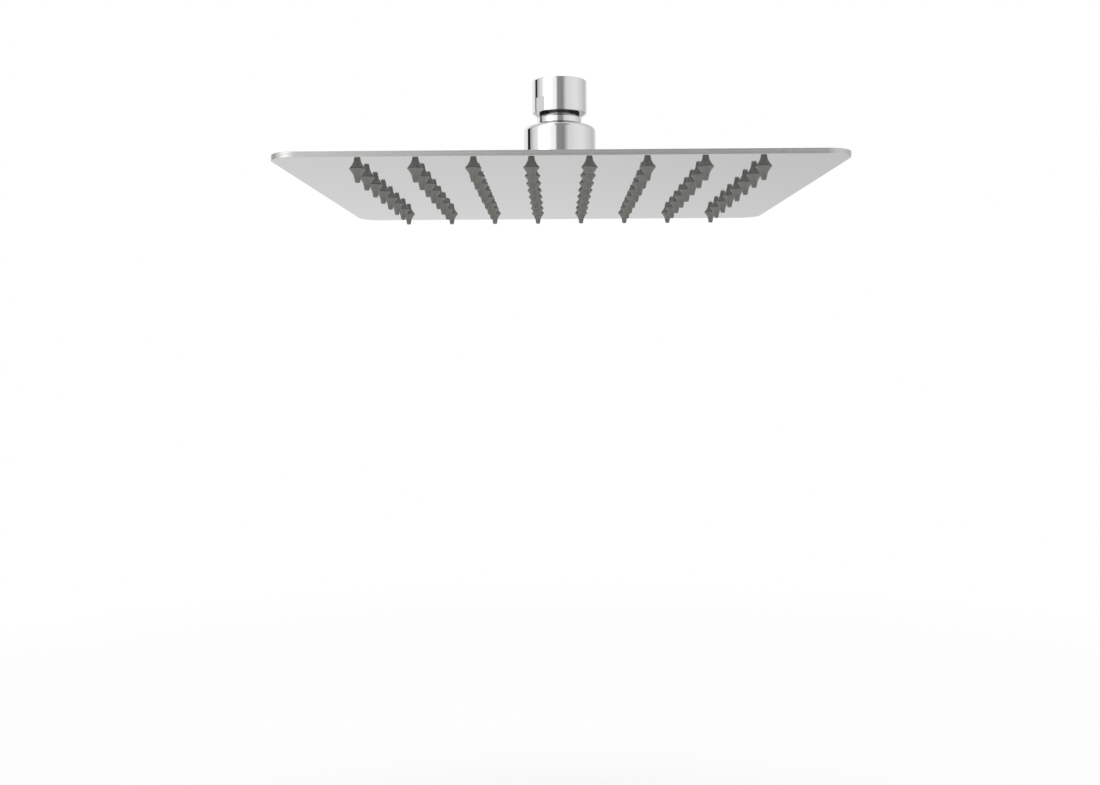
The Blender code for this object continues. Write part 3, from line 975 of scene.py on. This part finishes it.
floor_drop = 0.32
floor_radius = 1.1
floor_steps = 96
floor_fade_start = 0.42
floor_fade_end = 0.8
floor_colour = (0.93, 0.93, 0.93)

bm = bmesh.new()
bmesh.ops.create_circle(bm, cap_ends=True, segments=floor_steps, radius=floor_radius)
bmesh.ops.translate(bm, vec=(0.0, 0.0, -floor_drop), verts=bm.verts)
floor = new_object("floor", new_mesh("floor", bm))
floor_paint = plain_material("pale floor", floor_colour, metallic=0.0, roughness=0.9)
nodes = floor_paint.node_tree.nodes
links = floor_paint.node_tree.links
fade = nodes.new("ShaderNodeMapRange")
fade.interpolation_type = "SMOOTHSTEP"
fade.inputs["From Min"].default_value = floor_fade_start
fade.inputs["From Max"].default_value = floor_fade_end
clear = nodes.new("ShaderNodeBsdfTransparent")
blended = nodes.new("ShaderNodeMixShader")
links.new(distance_from_axis(floor_paint), fade.inputs["Value"])
links.new(fade.outputs["Result"], blended.inputs["Fac"])
links.new(nodes["Principled BSDF"].outputs["BSDF"], blended.inputs[1])
links.new(clear.outputs["BSDF"], blended.inputs[2])
links.new(blended.outputs["Shader"], nodes["Material Output"].inputs["Surface"])
floor.data.materials.append(floor_paint)


# Studio ring. White scrims, grey walls and dark flags stand all round, at the angles where the
# chrome shows them, and run up overhead. Only reflections see them: the camera, the lamps and the
# shadows pass them by. The angles are seen from above, 0 at the camera and positive to its right.

ring_radius = 3.0
ring_foot = -20
ring_top = 90
card_rows = 8
card_steps = 6
ring_glow = (
    (-180, 0.985), (-160, 1.02), (-124, 0.95), (-107, 0.45), (-92, 0.8), (-74, 1.0),
    (-65, 1.8), (-44, 1.8), (-32, 1.3), (-25, 1.14), (-14, 1.1), (-8, 0.33),
    (13, 0.28), (28, 0.8), (52, 0.9), (72, 0.94), (84, 0.89), (96, 0.8),
    (108, 0.75), (128, 0.6), (150, 0.8), (180, 0.985),
)
flag_foot, flag_top = -2, 20
flag_radius = 2.9
flag_glow = ((-122, 0.03), (-107, 0.03))
arch_foot, arch_top = 30, 80
arch_radius = 2.8
arch_glow = ((-14, 1.1), (-8, 0.33), (13, 0.28), (28, 0.8))


def curved_card(name, radius, foot, top, levels, arched=False):
    """A piece of a sphere that glows. The levels are (angle, brightness) pairs. An arched card
    keeps its width on its way up and over, where the others narrow."""
    bm = bmesh.new()
    glow_layer = bm.verts.layers.float.new("glow")
    columns = []
    for (start, first), (end, last) in zip(levels, levels[1:]):
        for step in range(card_steps + 1):
            share = step / card_steps
            angle = math.radians(start + share * (end - start))
            column = []
            for row in range(card_rows + 1):
                rise = math.radians(foot + row / card_rows * (top - foot))
                across, along = radius * math.sin(angle), radius * math.cos(angle)
                height = along if arched else radius
                narrowing = 1.0 if arched else math.cos(rise)
                place = (across * narrowing, -along * math.cos(rise), height * math.sin(rise))
                vert = bm.verts.new(place)
                vert[glow_layer] = first + share * (last - first)
                column.append(vert)
            columns.append(column)
    for left, right in zip(columns, columns[1:]):
        for row in range(card_rows):
            bm.faces.new((left[row], right[row], right[row + 1], left[row + 1]))
    card = new_object(name, new_mesh(name, bm))
    card.data.materials.append(card_paint)
    card.visible_camera = False
    card.visible_diffuse = False
    card.visible_shadow = False
    card.visible_transmission = False


card_paint = bpy.data.materials.new("studio card")
card_paint.use_nodes = True
nodes = card_paint.node_tree.nodes
links = card_paint.node_tree.links
nodes.remove(nodes["Principled BSDF"])
glow = nodes.new("ShaderNodeEmission")
level = nodes.new("ShaderNodeAttribute")
level.attribute_name = "glow"
links.new(level.outputs["Fac"], glow.inputs["Strength"])
links.new(glow.outputs["Emission"], nodes["Material Output"].inputs["Surface"])
curved_card("studio_ring", ring_radius, ring_foot, ring_top, ring_glow)
curved_card("thin_flag", flag_radius, flag_foot, flag_top, flag_glow)
curved_card("overhead_flag", arch_radius, arch_foot, arch_top, arch_glow, arched=True)


# Light. A white surround gives most of it, and a broad lamp overhead gives the soft shadow. What
# the camera and the metal see of the surround is plain white.

surround_light = 0.88
lamp_height = 0.9
lamp_size = 0.8
lamp_power = 3.0

world = bpy.data.worlds.new("white surround")
bpy.context.scene.world = world
world.use_nodes = True
nodes = world.node_tree.nodes
links = world.node_tree.links
soft = nodes["Background"]
soft.inputs["Color"].default_value = (1.0, 1.0, 1.0, 1.0)
soft.inputs["Strength"].default_value = surround_light
white = nodes.new("ShaderNodeBackground")
white.inputs["Color"].default_value = (1.0, 1.0, 1.0, 1.0)
white.inputs["Strength"].default_value = 1.0
ray = nodes.new("ShaderNodeLightPath")
seen = add_math(nodes, "ADD")
seen_all = add_math(nodes, "ADD")
seen_all.use_clamp = True
choice = nodes.new("ShaderNodeMixShader")
links.new(ray.outputs["Is Camera Ray"], seen.inputs[0])
links.new(ray.outputs["Is Glossy Ray"], seen.inputs[1])
links.new(seen.outputs["Value"], seen_all.inputs[0])
links.new(ray.outputs["Is Transmission Ray"], seen_all.inputs[1])
links.new(seen_all.outputs["Value"], choice.inputs["Fac"])
links.new(soft.outputs["Background"], choice.inputs[1])
links.new(white.outputs["Background"], choice.inputs[2])
links.new(choice.outputs["Shader"], nodes["World Output"].inputs["Surface"])

lamp_data = bpy.data.lights.new("overhead_lamp", "AREA")
lamp_data.shape = "DISK"
lamp_data.size = lamp_size
lamp_data.energy = lamp_power
lamp = new_object("overhead_lamp", lamp_data)
lamp.location = (0.0, 0.0, lamp_height)
lamp.visible_glossy = False


# Camera. It stands half a metre in front of the head and a little below it, so that it looks up at
# the nozzles. The head is in the upper part of the picture.

picture_width = 1100
focal_pixels = 1168.7
camera_place = (-0.001651, -0.496779, -0.058705)
camera_pitch = math.radians(87.656)
camera_roll = math.radians(0.345)
camera_turn = math.radians(0.337)
camera_nearest = 0.01

camera_data = bpy.data.cameras.new("camera")
camera_data.lens = focal_pixels / picture_width * camera_data.sensor_width
camera_data.clip_start = camera_nearest
camera = new_object("camera", camera_data)
camera.location = camera_place
camera.rotation_euler = (camera_pitch, camera_roll, camera_turn)
bpy.context.scene.camera = camera

bpy.context.scene.view_settings.view_transform = "Standard"
